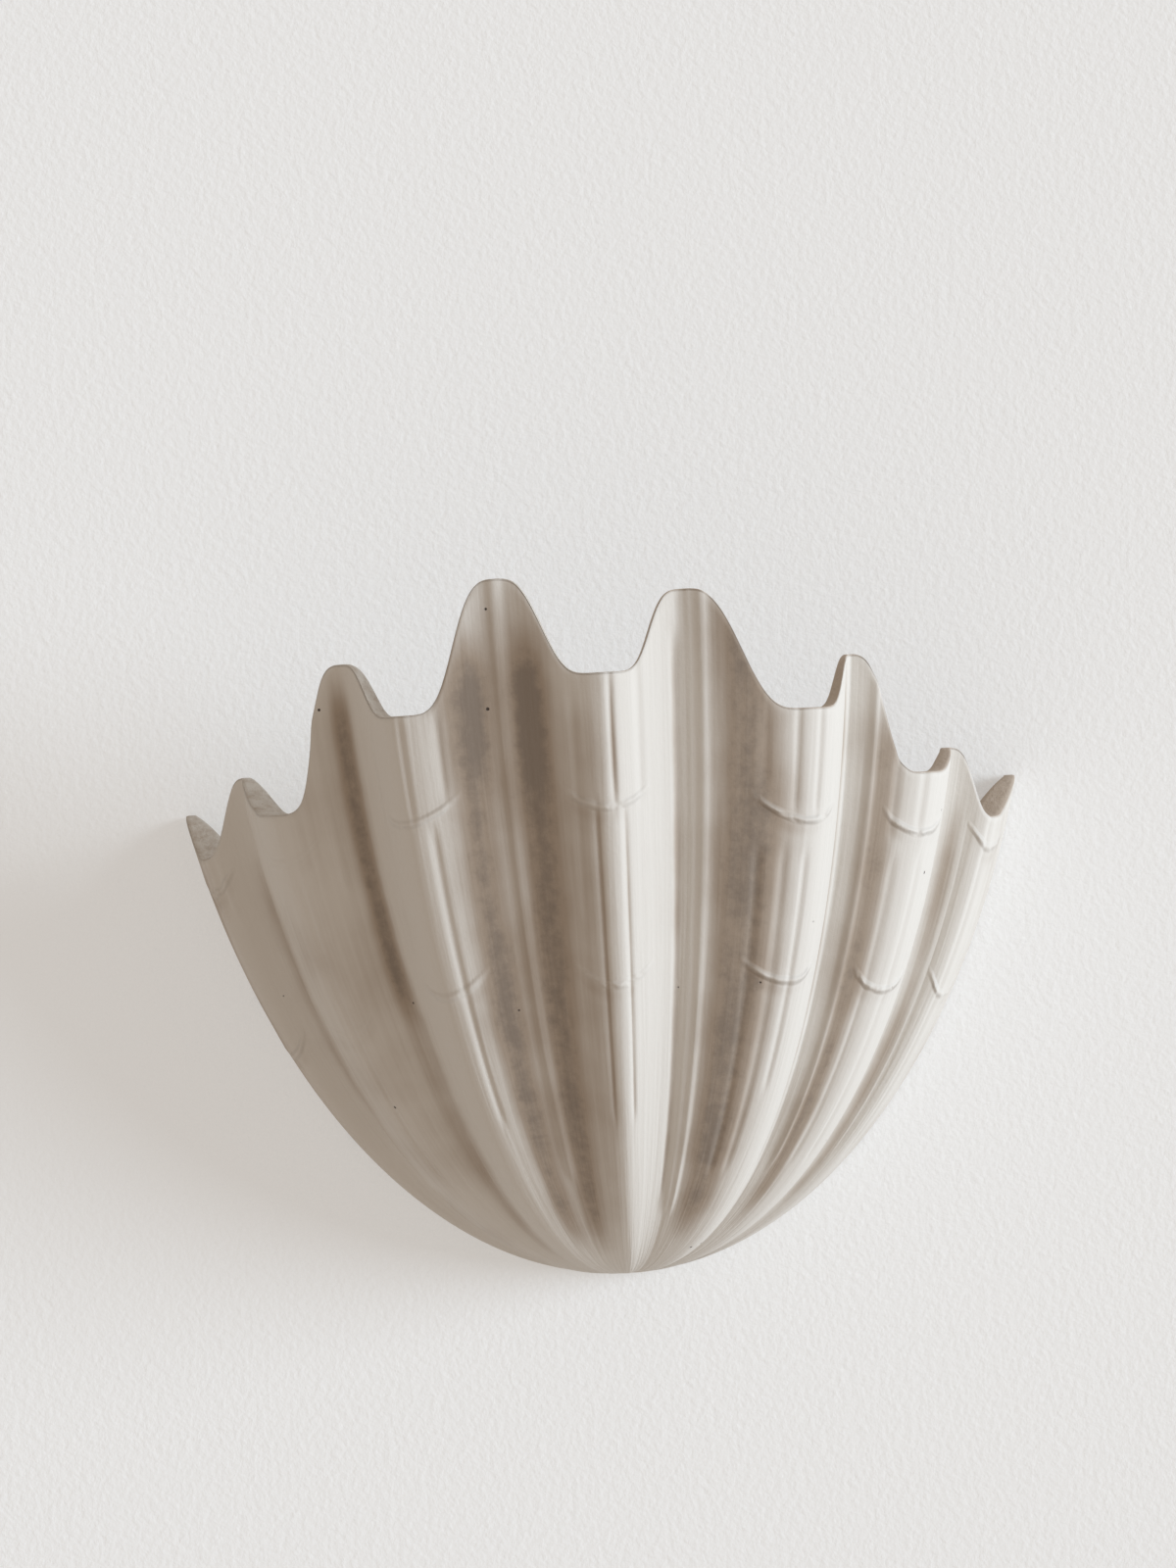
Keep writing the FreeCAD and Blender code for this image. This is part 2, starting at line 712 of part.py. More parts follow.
def holder_body():
    """Moulded lampholder: a neck on the nipple, a wire chamber, a floor and an open well."""
    profile = [(nipple_r, 0), (holder_neck_r, 0), (holder_neck_r + holder_flare, holder_flare_top),
               (holder_r, holder_shoulder), (holder_r, holder_height - holder_edge_down),
               (holder_r - holder_edge_in, holder_height),
               (sleeve_r, holder_height), (sleeve_r, holder_floor), (0, holder_floor),
               (0, floor_low), (chamber_r, floor_low), (chamber_r, nipple_above), (nipple_r, nipple_above)]
    return revolved(profile, arm_high)


def holder_terminals():
    """Two brass tags under the holder's floor, where the lamp wires end."""
    tags = []
    half = tag_width / 2.0
    top_z = arm_high.z + floor_low
    for x in (-tag_gap / 2.0 - tag_width, tag_gap / 2.0):
        tags.append(box(x, x + tag_width, lamp_y - half, lamp_y + half, top_z - tag_height, top_z))
    return Part.makeCompound(tags)


def holder_sleeve():
    """Screw shell of the lampholder, turned in at its foot."""
    bore = sleeve_r - sleeve_wall
    profile = [(sleeve_eye_r, 0), (sleeve_r, 0), (sleeve_r, sleeve_length), (bore, sleeve_length),
               (bore, sleeve_floor), (sleeve_eye_r, sleeve_floor)]
    return revolved(profile, arm_high + UP * holder_floor)


def holder_contact():
    """Sprung centre contact, a dished disc on the floor."""
    profile = [(0, 0), (contact_r, 0), (contact_r, spring_edge), (spring_crown_r, spring_thick),
               (0, spring_thick)]
    return revolved(profile, arm_high + UP * holder_floor)


def shade_ring():
    """Loose ring round the mouth of the holder, with finger grips."""
    foot = arm_high + UP * (holder_height - ring_drop - ring_height)
    ring = tube(holder_r + ring_wall, holder_r + fit_gap, ring_height, foot, UP)
    grips = []
    for grip in range(ring_grips):
        turn = 2.0 * math.pi * grip / ring_grips
        centre = foot + V(math.cos(turn), math.sin(turn), 0) * (holder_r + ring_wall + grip_outward)
        grips.append(rod(grip_r, ring_height, centre, UP))
    return ring.cut(Part.makeCompound(grips))


# ---------------------------------------------------------------- the bulb
bulb_foot = arm_high + UP * (holder_floor + spring_thick + contact_gap)


def bulb_contact():
    return rod(contact_r, contact_thick, bulb_foot, UP)


def bulb_insulator():
    profile = [(0, 0), (insulator_foot_r, 0), (cap_r - cap_foot_in, insulator_height),
               (0, insulator_height)]
    return revolved(profile, bulb_foot + UP * contact_thick)


cap_foot = bulb_foot + UP * (contact_thick + insulator_height)
collar_height = collar_profile[-1][1]


def bulb_cap():
    """Brass screw cap, plain where its thread would be."""
    bore = cap_r - cap_wall
    profile = [(0, 0), (cap_r - cap_foot_in, 0), (cap_r, cap_foot_up), (cap_r, cap_length),
               (bore, cap_length), (bore, cap_floor_edge), (0, cap_floor_middle)]
    return revolved(profile, cap_foot)


def bulb_body():
    """White moulded collar of the lamp, from its cap out to the globe."""
    plug_r = cap_r - cap_wall - collar_plug_gap
    profile = [(0, -collar_plug), (plug_r, -collar_plug), (plug_r, 0), *collar_profile, (0, collar_height)]
    return revolved(profile, cap_foot + UP * cap_length)


def dome(radius, height):
    """Half an oval standing on z = 0, a quarter oval turned about its axis."""
    oval = Part.Ellipse(V(0, 0, 0), height, radius)
    quarter = Part.Arc(oval, 0, math.pi / 2.0).toShape()
    quarter.rotate(V(0, 0, 0), V(0, 1, 0), -90)
    crown, brim = start_point(quarter), end_point(quarter)
    centre = V(0, 0, 0)
    profile = Part.Wire([quarter, Part.makeLine(brim, centre), Part.makeLine(centre, crown)])
    return Part.Face(profile).revolve(centre, UP, 360)


def bulb_globe():
    """Frosted dome with a thin wall."""
    globe = dome(bulb_r, globe_height).cut(dome(bulb_r - globe_wall, globe_height - globe_wall))
    globe.translate(cap_foot + UP * (cap_length + collar_height))
    return globe


# ---------------------------------------------------------------- the wires
wire_top_z = block_z - wire_inside
tag_foot_z = arm_high.z + floor_low - tag_height


def lamp_wire(way_x, run_x, turn_y):
    """Down from its barrel, forward under the arm and up the nipple to the holder's tag."""
    points = [V(way_x, barrel_y, wire_top_z), V(way_x, barrel_y, wire_drop_z),
              V(run_x, turn_y, wire_drop_z), V(run_x, lamp_y, wire_drop_z), V(run_x, lamp_y, tag_foot_z)]
    return swept_wire(points, wire_bend_r)


def wire_earth():
    """Down from its barrel, across under the plate and up to the earth tag."""
    points = [V(way_xs[2], barrel_y, wire_top_z), V(way_xs[2], barrel_y, earth_drop_z),
              V(earth_x, crimp_y, earth_drop_z), V(earth_x, crimp_y, crimp_low_z)]
    return swept_wire(points, wire_bend_r)


def wire_clip():
    """Saddle under the arm that holds the two lamp wires."""
    clip_y = (neutral_turn_y + lamp_y) / 2.0
    half = wire_pair_x + wire_r + clip_wall
    low_z = wire_drop_z - wire_r - clip_wall
    end_y = clip_y - clip_length / 2.0
    block = box(-half, half, end_y, end_y + clip_length, low_z, arm_foot_z)
    lower = [e for e in block.Edges if abs(e.tangentAt(e.FirstParameter).y) > along
             and e.CenterOfMass.z < low_z + clip_wall]
    block = block.makeFillet(clip_wall, lower)
    for side in (-1, 1):
        block = block.cut(rod(wire_r, clip_length, V(side * wire_pair_x, end_y, wire_drop_z), OUT * -1))
    return block


def main():
    os.makedirs("parts", exist_ok=True)
    save(shell(), "shell")
    save(lug_inserts(), "lug_inserts")
    save(hanging_bar(), "hanging_bar")
    save(bar_washers(), "bar_washers")
    save(bar_screws(), "bar_screws")
    save(wall_pads(), "wall_pads")
    save(wall_plate(), "wall_plate")
    save(cable_grommet(), "cable_grommet")
    save(terminal_block(), "terminal_block")
    save(terminal_barrels(), "terminal_barrels")
    save(terminal_screws(), "terminal_screws")
    save(block_screw(), "block_screw")
    save(earth_stud(), "earth_stud")
    save(earth_washer(), "earth_washer")
    save(earth_tag(), "earth_tag")
    save(earth_nut(), "earth_nut")
    save(lamp_arm(), "lamp_arm")
    save(arm_screws(), "arm_screws")
    save(nipple(), "nipple")
    save(nipple_washer(), "nipple_washer")
    save(nipple_nut(), "nipple_nut")
    save(holder_body(), "holder_body")
    save(holder_terminals(), "holder_terminals")
    save(holder_sleeve(), "holder_sleeve")
    save(holder_contact(), "holder_contact")
    save(shade_ring(), "shade_ring")
    save(bulb_contact(), "bulb_contact")
    save(bulb_insulator(), "bulb_insulator")
    save(bulb_cap(), "bulb_cap")
    save(bulb_body(), "bulb_body")
    save(bulb_globe(), "bulb_globe")
    save(lamp_wire(way_xs[0], -wire_pair_x, live_turn_y), "wire_live")
    save(lamp_wire(way_xs[1], wire_pair_x, neutral_turn_y), "wire_neutral")
    save(wire_earth(), "wire_earth")
    save(wire_clip(), "wire_clip")


main()
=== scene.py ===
import math
import bpy
import numpy as np
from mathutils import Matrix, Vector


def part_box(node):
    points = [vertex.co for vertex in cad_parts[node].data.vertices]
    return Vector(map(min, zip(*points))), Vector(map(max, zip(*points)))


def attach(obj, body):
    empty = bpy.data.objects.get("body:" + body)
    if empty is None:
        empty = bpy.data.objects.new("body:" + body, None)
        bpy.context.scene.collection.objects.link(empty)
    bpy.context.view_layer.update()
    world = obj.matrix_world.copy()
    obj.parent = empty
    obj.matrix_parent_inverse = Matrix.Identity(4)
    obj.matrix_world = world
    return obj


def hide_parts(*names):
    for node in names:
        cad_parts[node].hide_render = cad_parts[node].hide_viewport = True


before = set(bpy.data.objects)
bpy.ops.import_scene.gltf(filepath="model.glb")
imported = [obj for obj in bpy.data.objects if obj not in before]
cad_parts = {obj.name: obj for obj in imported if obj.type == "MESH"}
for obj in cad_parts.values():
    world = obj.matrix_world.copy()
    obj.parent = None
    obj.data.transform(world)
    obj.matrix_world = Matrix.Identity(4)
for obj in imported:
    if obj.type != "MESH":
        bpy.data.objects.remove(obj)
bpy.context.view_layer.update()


# The shell: half of a fluted clam cast in plaster in one piece, seven crests with eight
# grooves between them, its rim left as the mould gave it. It was rubbed with a thin
# grey-brown wash that stayed in the grooves, and it hangs with its right side a little up.
MM = 0.001
back_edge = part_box("shell")[1][1]
apex = np.array((0.0, back_edge, -170.0 * MM))
half_width = 228.0 * MM
depth_out = 205.0 * MM
full_height = 390.0 * MM
lean = math.radians(3.2)
crest_turns = (167.5, 138.0, 115.0, 89.0, 62.5, 42.3, 19.5)
crest_rims = (222.5, 243.0, 285.5, 300.0, 279.0, 246.3, 222.5)
groove_turns = (180.0, 157.5, 125.5, 102.0, 78.0, 53.2, 26.0, 0.0)
groove_rims = (244.5, 261.7, 311.8, 346.0, 337.0, 303.5, 257.3, 242.0)
groove_depths = (0.0, 26.0, 18.0, 15.0, 22.0, 22.0, 25.0, 0.0)
crest_walls = (18.5, 17.5, 11.5, 8.5, 10.0, 9.0, 17.0)
full_depth_at = 300.0 * MM
early_depth = 0.8
valley_flat_front = 3.1
valley_flat_side = 0.8
tip_flat_front = 1.7
tip_flat_side = 1.1
crest_keen = (0.8, 0.6, 0.8, 0.9, 0.35, 0.5, 0.5)
crest_round = 0.16
wall_tip = 4.0 * MM
wall_foot = 10.0 * MM
# Raised and scratched lines along the flutes: place across the shell, half width on the same
# scale, height in millimetres, and the two heights between which it runs, also in millimetres.
cords = (
    (1.06, 0.04, -1.0, 190, 222), (1.22, 0.05, -0.9, 195, 222), (2.16, 0.04, 1.0, 60, 205),
    (2.40, 0.05, 1.6, 30, 250), (2.62, 0.05, -0.8, 150, 250), (3.10, 0.03, -0.6, 60, 210),
    (3.62, 0.05, 1.0, 205, 300), (4.45, 0.04, -0.6, 236, 280), (5.02, 0.035, -0.9, 236, 284),
    (5.20, 0.04, -1.1, 90, 232), (5.36, 0.04, -0.9, 247, 284), (5.99, 0.07, 1.8, 60, 350),
    (6.68, 0.04, -0.5, 187, 290), (6.86, 0.035, -0.9, 90, 238), (7.05, 0.035, -1.3, 240, 300),
    (7.16, 0.035, -1.0, 90, 236), (7.38, 0.05, -1.0, 242, 304), (7.88, 0.05, -1.2, 50, 315),
    (8.02, 0.06, 1.6, 40, 345), (8.13, 0.05, 1.8, 40, 345), (8.57, 0.04, -1.1, 60, 214),
    (8.60, 0.04, -0.7, 244, 280), (8.78, 0.04, -1.0, 60, 214), (8.85, 0.035, -1.3, 230, 280),
    (9.00, 0.04, -0.9, 100, 210), (9.09, 0.04, -1.0, 230, 280), (9.85, 0.05, -0.9, 60, 300),
    (10.30, 0.05, 1.5, 60, 290), (10.62, 0.05, -1.1, 218, 255), (10.95, 0.05, -1.0, 218, 250),
    (10.70, 0.05, -0.9, 60, 205), (11.05, 0.05, -0.9, 60, 205), (12.50, 0.06, -0.9, 60, 222),
    (12.90, 0.06, -1.0, 60, 222), (13.20, 0.06, 0.9, 40, 222))
# Where the wash was left to settle in the grooves, and where flanks turned away from the window are darkened
# as painted shade, written in the same way, with how strong it is.
wash_and_shade_strokes = (
    (0.60, 0.40, 0.45, 0, 240), (2.30, 0.10, 0.75, 30, 260), (2.05, 0.30, 0.55, 90, 215),
    (2.75, 0.50, 0.25, 0, 200), (3.95, 0.16, 1.05, 150, 300), (4.05, 0.30, 0.55, 20, 160),
    (3.50, 0.40, 0.25, 60, 300), (5.60, 0.20, 0.85, 30, 310), (6.26, 0.24, 0.75, 30, 310),
    (6.00, 0.60, 0.42, 20, 335), (5.75, 0.10, 0.55, 256, 306), (6.25, 0.14, 0.60, 256, 306),
    (6.75, 0.25, 0.35, 30, 290), (7.87, 0.05, 0.60, 40, 312), (8.46, 0.28, 1.10, 30, 345),
    (8.75, 0.25, 0.25, 30, 250), (9.84, 0.06, 0.55, 100, 300), (10.48, 0.20, 0.85, 30, 272),
    (7.06, 0.02, 0.70, 240, 298), (6.87, 0.02, 0.50, 90, 238), (7.17, 0.02, 0.60, 90, 236),
    (10.10, 0.30, 0.25, 30, 280), (11.85, 0.10, 0.60, 60, 255), (12.25, 0.18, 0.65, 30, 225),
    (13.50, 0.40, 0.35, 20, 235))
# Two growth lines cross every crest: their heights there in millimetres, how strongly each crest
# shows them, how far they climb beside it, and how wide and high their ridges are.
growth_upper = (205.0, 219.0, 234.0, 238.0, 227.0, 216.0, 207.0)
growth_lower = (121.0, 134.0, 152.0, 155.0, 151.0, 142.0, 135.0)
growth_marked = (0.9, 0.3, 0.7, 0.7, 1.0, 1.0, 0.8)
growth_climb = 42.0
growth_end = 0.52
growth_soft = 0.2
growth_reach = 25.0
growth_half = 2.6
growth_high = 0.6
cord_fade = 12.0
wash_and_shade_fade = 40.0
half_flutes = 14
columns_each = 48
outer_rows = 128
row_crowding = 0.85
inner_rows = 16
lip_rows = 6
lip_round = 1.2 * MM
lip_square = 0.5


def alternate(on_grooves, on_crests):
    """Groove and crest values in turn, from the left end of the shell to the right end."""
    marks = np.empty(half_flutes + 1)
    marks[0::2] = on_grooves
    marks[1::2] = on_crests
    return marks


def smooth_through(marks, place):
    """Cubic through marks one apart: each mark's slope is half the step between its neighbours."""
    padded = np.concatenate(([2 * marks[0] - marks[1]], marks, [2 * marks[-1] - marks[-2]]))
    i = np.minimum(place.astype(int), len(marks) - 2)
    f = place - i
    before, low, high, after = padded[i], padded[i + 1], padded[i + 2], padded[i + 3]
    rise0, rise1, run = (high - before) / 2, (after - low) / 2, high - low
    return low + f * (rise0 + f * (3 * run - 2 * rise0 - rise1 + f * (rise0 + rise1 - 2 * run)))


def groove_share(place):
    """1 on a groove's bottom line, 0 on a crest, a cosine wave between."""
    return (1 + np.cos(np.pi * place)) / 2


def groove_press(place):
    """Depth across half a flute, 0 on its crest and 1 on its groove: part of a sine, which is keen
    at the crest, and part of one less a cosine, which is keen in the groove."""
    crest = np.minimum(place.astype(int) // 2, len(crest_keen) - 1)
    aside = place - 2 * crest - 1
    rounded = (np.hypot(aside, crest_round) - crest_round) / (np.hypot(1, crest_round) - crest_round)
    turn = rounded * np.pi / 2
    keen = np.array(crest_keen)[crest]
    return keen * np.sin(turn) + (1 - keen) * (1 - np.cos(turn))


def side_share(place):
    """0 at the front and 1 at both ends."""
    return (place / half_flutes * 2 - 1) ** 2


def rim_height(place):
    """Low over the crests; over a groove it climbs by a power of the groove's share, flat on top."""
    marks = alternate(groove_rims, crest_rims) * MM
    i = np.minimum(place.astype(int), half_flutes - 1)
    on_groove = np.where(i % 2 == 0, marks[i], marks[i + 1])
    on_crest = np.where(i % 2 == 0, marks[i + 1], marks[i])
    valley_flat = valley_flat_front + (valley_flat_side - valley_flat_front) * side_share(place)
    tip_flat = tip_flat_front + (tip_flat_side - tip_flat_front) * side_share(place)
    climb = (1 - (1 - groove_share(place)) ** tip_flat) ** valley_flat
    return on_crest + (on_groove - on_crest) * climb


def oval_share(height, full):
    """How wide the bowl is at a height, as a share of its widest: a quarter circle."""
    return np.sqrt(1 - (1 - height / full) ** 2)


def strokes(table, place, height, fade_over):
    """Sum of lines along the flutes: a bell curve across each, times a smooth fade at both ends."""
    total = np.zeros(np.broadcast_shapes(place.shape, height.shape))
    for middle, half, size, low, high in table:
        across = np.exp(-((place - middle) / half) ** 2)
        begun = np.clip((height - low) / fade_over + 0.5, 0, 1)
        fade = begun * np.clip((high - height) / fade_over + 0.5, 0, 1)
        total += size * across * fade ** 2 * (3 - 2 * fade)
    return total


def beside_crest(place):
    """How far a place is from its nearest crest: 0 on it, 1 on a groove."""
    return np.abs(place % 2 - 1)


def growth_distance(marks, place, height):
    """Height above a growth line, as a share of its reach: the line climbs by the square of the
    distance from the crest."""
    on_crest = smooth_through(np.array(marks), np.clip((place - 1) / 2, 0, 6))
    return np.clip((height - on_crest - growth_climb * beside_crest(place) ** 2) / growth_reach, -1, 1)


def crest_mark(place):
    """How strongly growth lines show: each crest has its own strength, fading towards the grooves."""
    strength = smooth_through(np.array(growth_marked), np.clip((place - 1) / 2, 0, 6))
    return strength * np.clip((growth_end - beside_crest(place)) / growth_soft, 0, 1)


def growth_ridges(place, height):
    """Two low ridges over every crest, each a bell curve of the height above its growth line."""
    total = np.zeros(np.broadcast_shapes(place.shape, height.shape))
    for marks in (growth_upper, growth_lower):
        off = growth_distance(marks, place, height) * growth_reach
        total += np.exp(-(off / growth_half) ** 2)
    return total * growth_high * crest_mark(place)


def shell_skin(place, share, inside):
    """Point of the outer or inner skin: an oval bowl, pressed in along its own plan normal by the
    nearest groove's depth times the press across the flute, more with height. place runs from the
    left end to the right end, and share from the apex to the rim."""
    foot = wall_foot if inside else 0.0
    full = full_height - foot
    rim = rim_height(place) - lip_round - foot
    angle = np.arccos(1 - rim / full) * share
    across, height = np.sin(angle), foot + full * (1 - np.cos(angle))
    turn = np.radians(smooth_through(alternate(groove_turns, crest_turns), place))
    grown = across / oval_share(full_depth_at, full_height)
    nearest = np.minimum((place / 2 + 0.5).astype(int), half_flutes // 2)
    growth = early_depth * grown + (1 - early_depth) * grown ** 2
    depth = np.array(groove_depths)[nearest] * MM * groove_press(place) * growth
    if not inside:
        raised = strokes(cords, place, height / MM, cord_fade) + growth_ridges(place, height / MM)
        depth = depth - raised * MM
    behind_crest = smooth_through(np.array(crest_walls) * MM, np.clip((place - 1) / 2, 0, 6))
    thick = (behind_crest + (wall_tip - behind_crest) * groove_share(place) ** 2 * growth) * inside
    out_x, out_y = np.cos(turn) / half_width, np.sin(turn) / depth_out
    length = np.hypot(out_x, out_y)
    x = (half_width - thick) * across * np.cos(turn) - depth * out_x / length
    y = -(depth_out - thick) * across * np.sin(turn) + depth * out_y / length
    return np.stack((x, y, height), axis=-1)


def lip_skin(outer_rim, inner_rim, below, share):
    """The cut edge: from the outer rim over to the inner rim along a squared-off half ring."""
    rise = outer_rim - below
    rise = rise / np.linalg.norm(rise, axis=-1, keepdims=True)
    middle, half = (outer_rim + inner_rim) / 2, (outer_rim - inner_rim) / 2
    along, up = np.cos(np.pi * share), np.sin(np.pi * share)
    outwards = half * np.sign(along) * np.abs(along) ** lip_square
    return middle + outwards + rise * lip_round * up ** lip_square


def grid_faces(numbers):
    """Four-sided faces between neighbouring rows and columns of vertex numbers."""
    a, b, c, d = numbers[:-1, :-1], numbers[:-1, 1:], numbers[1:, 1:], numbers[1:, :-1]
    return np.stack((a, b, c, d), axis=-1).reshape(-1, 4)


columns = half_flutes * columns_each + 1
place_line = np.linspace(0, half_flutes, columns)
outer_share = np.linspace(0, 1, outer_rows) ** row_crowding
inner_share = np.linspace(1, 0, inner_rows)
outer = shell_skin(*np.broadcast_arrays(place_line[None, :], outer_share[:, None]), False)
inner = shell_skin(*np.broadcast_arrays(place_line[None, :], inner_share[:, None]), True)
lip_share = np.linspace(0, 1, lip_rows)[1:-1, None, None]
lip = lip_skin(outer[-1][None], inner[0][None], outer[-2][None], lip_share)
skin = np.concatenate((outer, lip, inner))
skin[:, (0, -1), 1] = 0.0

turned = skin.copy()
turned[..., 0] = skin[..., 0] * math.cos(lean) - skin[..., 2] * math.sin(lean)
turned[..., 2] = skin[..., 0] * math.sin(lean) + skin[..., 2] * math.cos(lean)
hung = turned + apex

numbers = np.arange(hung[..., 0].size).reshape(hung.shape[:2])
numbers[0, :] = numbers[0, 0]
numbers[-1, :] = numbers[-1, 0]
faces = grid_faces(numbers)
first = faces[(faces[:, 0] == faces[:, 1])][:, (0, 2, 3)]
last = faces[(faces[:, 2] == faces[:, 3])][:, (0, 1, 2)]
quads = faces[(faces[:, 0] != faces[:, 1]) & (faces[:, 2] != faces[:, 3])]


def land_faces(column, outward):
    """The flat back edge at one end: strips between the outer skin and the inner one."""
    outer_line = column[:outer_rows]
    inner_line = column[outer_rows + lip_rows - 2:][::-1]
    steps = np.linspace(0, len(outer_line) - 1, len(inner_line)).round().astype(int)
    strips = []
    for k in range(len(inner_line) - 1):
        run = outer_line[steps[k]:steps[k + 1] + 1]
        strips.append(list(run) + [inner_line[k + 1], inner_line[k]])
    strips[-1] = strips[-1][:-2] + list(column[outer_rows:outer_rows + lip_rows - 2]) + strips[-1][-2:]
    return [strip if outward else strip[::-1] for strip in strips]


mesh = bpy.data.meshes.new("shell_cast")
polygons = [list(map(int, f)) for f in first] + quads.tolist() + [list(map(int, f)) for f in last]
polygons += [list(map(int, f)) for f in land_faces(numbers[:, 0], True)]
polygons += [list(map(int, f)) for f in land_faces(numbers[:, -1], False)]
mesh.from_pydata(hung.reshape(-1, 3).tolist(), [], polygons)
mesh.polygons.foreach_set("use_smooth", [True] * len(mesh.polygons))
shell = bpy.data.objects.new("shell_cast", mesh)
bpy.context.collection.objects.link(shell)


def attribute(mesh, name, values):
    """One value for each vertex, for the material to read."""
    mesh.attributes.new(name, "FLOAT", "POINT").data.foreach_set("value", values.ravel().astype(np.float32))


def uv_map(mesh, name, u, v):
    """A UV map from two values of each vertex."""
    corner = np.empty(len(mesh.loops), dtype=np.int32)
    mesh.loops.foreach_get("vertex_index", corner)
    pairs = np.stack((u.ravel()[corner], v.ravel()[corner]), axis=-1)
    mesh.uv_layers.new(name=name).data.foreach_set("uv", pairs.ravel().astype(np.float32))


row_share = np.concatenate((outer_share, np.ones(lip_rows - 2), inner_share))[:, None]
row_inside = np.concatenate((np.zeros(outer_rows), np.ones(lip_rows - 2 + inner_rows)))[:, None]
place_all, share_all = np.broadcast_arrays(place_line[None, :], row_share)
height_all = skin[..., 2] / MM
# Wash settled in the grooves, and painted shade on the flanks that face away from the window.
attribute(mesh, "wash_and_shade", strokes(wash_and_shade_strokes, place_all, height_all, wash_and_shade_fade))
attribute(mesh, "marked", crest_mark(place_all) * (1 - row_inside))
attribute(mesh, "inside", row_inside + 0 * place_all)
uv_map(mesh, "flute", place_all / half_flutes, share_all)
uv_map(mesh, "growth", growth_distance(growth_upper, place_all, height_all),
       growth_distance(growth_lower, place_all, height_all))


def put(tree, kind, inputs, **settings):
    """Adds a shader node with its settings and its inputs, which are values or other nodes' outputs."""
    made = tree.nodes.new("ShaderNode" + kind)
    for name, value in settings.items():
        setattr(made, name, value)
    for key, value in inputs.items():
        if isinstance(value, bpy.types.NodeSocket):
            tree.links.new(value, made.inputs[key])
        else:
            made.inputs[key].default_value = value
    return made


def sum_up(tree, kind, a, b, c=0.0):
    """One step of arithmetic on values."""
    return put(tree, "Math", {0: a, 1: b, 2: c}, operation=kind).outputs[0]


def ramp(tree, value, low, high, at_low=0.0, at_high=1.0):
    """A smooth step of a value from one level to another."""
    return put(tree, "MapRange", {0: value, 1: low, 2: high, 3: at_low, 4: at_high},
               interpolation_type="SMOOTHSTEP").outputs[0]


def blend(tree, share, a, b):
    """Two colours mixed by a share."""
    return put(tree, "Mix", {0: share, 6: a, 7: b}, data_type="RGBA").outputs[2]


def noise(tree, where, scale, detail=3.0, rough=0.5):
    """Soft random clouds from 0 to 1."""
    inputs = {"Vector": where, "Scale": scale, "Detail": detail, "Roughness": rough}
    return put(tree, "TexNoise", inputs).outputs[0]


def swing(tree, value, width):
    """A value from 0 to 1 turned into a swing of that width about zero."""
    return sum_up(tree, "MULTIPLY_ADD", value, width, -width / 2)


def weighted(tree, parts):
    """Sum of values, each times its weight."""
    total = 0.0
    for value, weight in parts:
        total = sum_up(tree, "MULTIPLY_ADD", value, weight, total)
    return total


def new_material(name):
    """A material's tree and its shader."""
    made = bpy.data.materials.new(name)
    made.use_nodes = True
    return made, made.node_tree, made.node_tree.nodes["Principled BSDF"]


bare_plaster = (0.70, 0.665, 0.61, 1)
thin_wash_and_shade = (0.41, 0.335, 0.265, 1)
thick_wash_and_shade = (0.24, 0.20, 0.165, 1)
raw_left = (0.60, 0.56, 0.50, 1)
# The raw inside's right half, darker and browner as painted shade.
raw_in_painted_shade = (0.52, 0.44, 0.36, 1)
pinhole_painted_shade = (0.07, 0.055, 0.045, 1)
brush_across = (260, 6, 1)
wide_brush_across = (110, 3, 1)
plaster, tree, shader = new_material("washed plaster")
object_place = put(tree, "TexCoord", {}).outputs["Object"]
flute = put(tree, "UVMap", {}, uv_map="flute").outputs[0]
growth = put(tree, "SeparateXYZ", {0: put(tree, "UVMap", {}, uv_map="growth").outputs[0]}).outputs
wash_and_shade = put(tree, "Attribute", {}, attribute_name="wash_and_shade").outputs["Fac"]
mark = put(tree, "Attribute", {}, attribute_name="marked").outputs["Fac"]
inside = put(tree, "Attribute", {}, attribute_name="inside").outputs["Fac"]
brush = noise(tree, put(tree, "Mapping", {"Vector": flute, "Scale": brush_across}).outputs[0], 1.0)
wide_brush_place = put(tree, "Mapping", {"Vector": flute, "Scale": wide_brush_across}).outputs[0]
wide_brush = noise(tree, wide_brush_place, 1.0, detail=2.0)
clouds = noise(tree, object_place, 22.0)
speckle = noise(tree, object_place, 420.0, rough=0.65)
crumbs = noise(tree, object_place, 150.0, detail=4.0, rough=0.7)

# The growth lines' ridges, worn away in places, and a band below each, darkened as the ridge's painted shadow.
wobble = swing(tree, clouds, 0.3)
ridges, ridge_shadows = [], []
for distance in growth[:2]:
    off = sum_up(tree, "ADD", distance, wobble)
    below = sum_up(tree, "ADD", off, 0.2)
    ridges.append(ramp(tree, sum_up(tree, "ABSOLUTE", off, 0.0), 0.0, 0.11, 1.0, 0.0))
    ridge_shadows.append(ramp(tree, sum_up(tree, "ABSOLUTE", below, 0.0), 0.0, 0.2, 1.0, 0.0))
worn = ramp(tree, noise(tree, object_place, 90.0, detail=2.0), 0.25, 0.5)
ridge = sum_up(tree, "MAXIMUM", *ridges)
ridge = sum_up(tree, "MULTIPLY", ridge, sum_up(tree, "MULTIPLY", mark, worn))
ridge_shadow = sum_up(tree, "MULTIPLY", sum_up(tree, "MAXIMUM", *ridge_shadows), mark)
